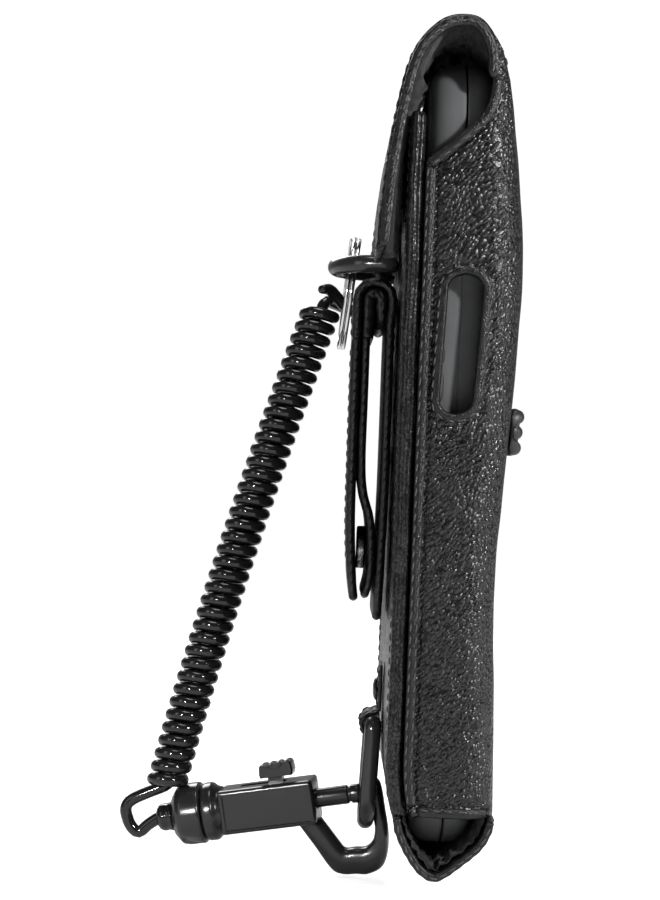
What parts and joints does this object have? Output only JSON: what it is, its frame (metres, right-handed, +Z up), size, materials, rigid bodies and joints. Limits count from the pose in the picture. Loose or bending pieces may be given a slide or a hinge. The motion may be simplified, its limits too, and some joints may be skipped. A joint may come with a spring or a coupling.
{
  "type": "belt case with coiled lanyard",
  "caption": "Tall black pebbled-leather belt case with hooded flap, belt strap, D-rings and coiled safety cord with snap hook, holding a slab-shaped handheld.",
  "frame": {"origin": "middle of the flat face that a belt rests on, on the inner leg of the belt strap", "axes": "+X towards the case's front, away from the wearer's belt strap; +Y across the width, away from the window side; +Z up along the case"},
  "size_m": [0.0857, 0.0914, 0.1867],
  "materials": {
    "pebbled_leather": "pebbled black grain, soft satin",
    "smooth_leather": "smooth black, stitched",
    "lining_fabric": "matte black woven lining",
    "hook_and_loop": "matte black hook-and-loop",
    "stiffener_board": "plain board",
    "badge_rubber": "satin black rubber",
    "device_plastic": "fine matte grey",
    "key_rubber": "matte dark grey",
    "hook_plastic": "semi-gloss black moulded",
    "cord_plastic": "gloss black",
    "black_metal": "satin black",
    "chrome_steel": "polished",
    "plain_steel": "plain bright"
  },
  "bodies": {
    "root": {"front_wrap": "pebbled_leather", "side_binding_near": "smooth_leather", "side_binding_far": "smooth_leather", "top_binding_near": "smooth_leather", "top_binding_far": "smooth_leather", "bottom_binding_near": "smooth_leather", "bottom_binding_far": "smooth_leather", "window_rim": "smooth_leather", "front_badge": "badge_rubber", "back_panel": "pebbled_leather", "back_stiffener": "stiffener_board", "back_lining": "lining_fabric", "front_lining": "lining_fabric", "bottom_wrap": "pebbled_leather", "bottom_lining": "lining_fabric", "panel_loop_patch": "hook_and_loop", "belt_strap_fold": "smooth_leather", "belt_strap_fold_lining": "smooth_leather", "snap_stud": "plain_steel", "upper_ring_keeper": "smooth_leather", "lower_ring_tab": "smooth_leather", "tab_rivet": "black_metal", "device_rear_shell": "device_plastic", "device_front_shell": "device_plastic"},
    "flap": {"flap_outer": "pebbled_leather", "flap_lining": "lining_fabric", "flap_binding_near": "smooth_leather", "flap_binding_far": "smooth_leather", "flap_hook_patch": "hook_and_loop"},
    "strap_leg": {"belt_strap_outer_ply": "smooth_leather", "belt_strap_inner_ply": "smooth_leather", "snap_socket": "plain_steel"},
    "upper_ring": {"upper_d_ring": "black_metal"},
    "split_ring": {"split_ring": "chrome_steel"},
    "lanyard": {"coil_cord": "cord_plastic", "cord_boot": "cord_plastic", "cord_stop": "plain_steel", "swivel_cap": "hook_plastic"},
    "hook": {"hook_body": "hook_plastic", "swivel_pin": "plain_steel", "plunger_spring": "plain_steel"},
    "plunger_unit": {"plunger": "hook_plastic", "thumb_knob": "hook_plastic"},
    "lower_ring": {"lower_d_ring": "black_metal"},
    "key_lower": {"side_key_lower": "key_rubber"},
    "key_middle": {"side_key_middle": "key_rubber"},
    "key_upper": {"side_key_upper": "key_rubber"}
  },
  "joints": [
    {"name": "flap_hinge", "type": "hinge", "parent": "root", "child": "flap", "pos_m": [0.02305, 0, 0.0702], "axis": [0, 1, 0], "range_deg": [0, 150]},
    {"name": "belt_strap_open", "type": "hinge", "parent": "root", "child": "strap_leg", "pos_m": [-0.0057, 0, 0.0135], "axis": [0, 1, 0], "range_deg": [0, 16]},
    {"name": "upper_ring_tilt", "type": "hinge", "parent": "root", "child": "upper_ring", "pos_m": [0.00055, 0, 0.0342], "axis": [0, 1, 0], "range_deg": [-8, 15]},
    {"name": "split_ring_turn", "type": "hinge", "parent": "root", "child": "split_ring", "pos_m": [-0.00835, 0.009, 0.029], "axis": [0.9954, 0, -0.0958], "range_deg": [-15, 15]},
    {"name": "lanyard_swing", "type": "hinge", "parent": "root", "child": "lanyard", "pos_m": [0.0024, 0, -0.0902], "axis": [-0.0887, 0.1716, 0.9812], "range_deg": [0, 15]},
    {"name": "hook_swivel", "type": "hinge", "parent": "lanyard", "child": "hook", "pos_m": [-0.0218, 0.0033, -0.0886], "axis": [0.9737, -0.1368, 0.1822], "range_deg": [-3, 30]},
    {"name": "plunger_slide", "type": "slide", "parent": "hook", "child": "plunger_unit", "axis": [-0.9737, 0.1368, -0.1822], "range_m": [0, 0.006], "stiffness_N_per_m": 20, "springref_m": -0.002, "deforming": ["plunger_spring"]},
    {"name": "lower_ring_swing", "type": "hinge", "parent": "root", "child": "lower_ring", "pos_m": [0.00075, 0, -0.0685], "axis": [0, 1, 0], "range_deg": [0, 10]},
    {"name": "side_key_lower_press", "type": "slide", "parent": "root", "child": "key_lower", "axis": [0, 1, 0], "range_m": [0, 0.0006]},
    {"name": "side_key_middle_press", "type": "slide", "parent": "root", "child": "key_middle", "axis": [0, 1, 0], "range_m": [0, 0.0006]},
    {"name": "side_key_upper_press", "type": "slide", "parent": "root", "child": "key_upper", "axis": [0, 1, 0], "range_m": [0, 0.0006]}
  ]
}
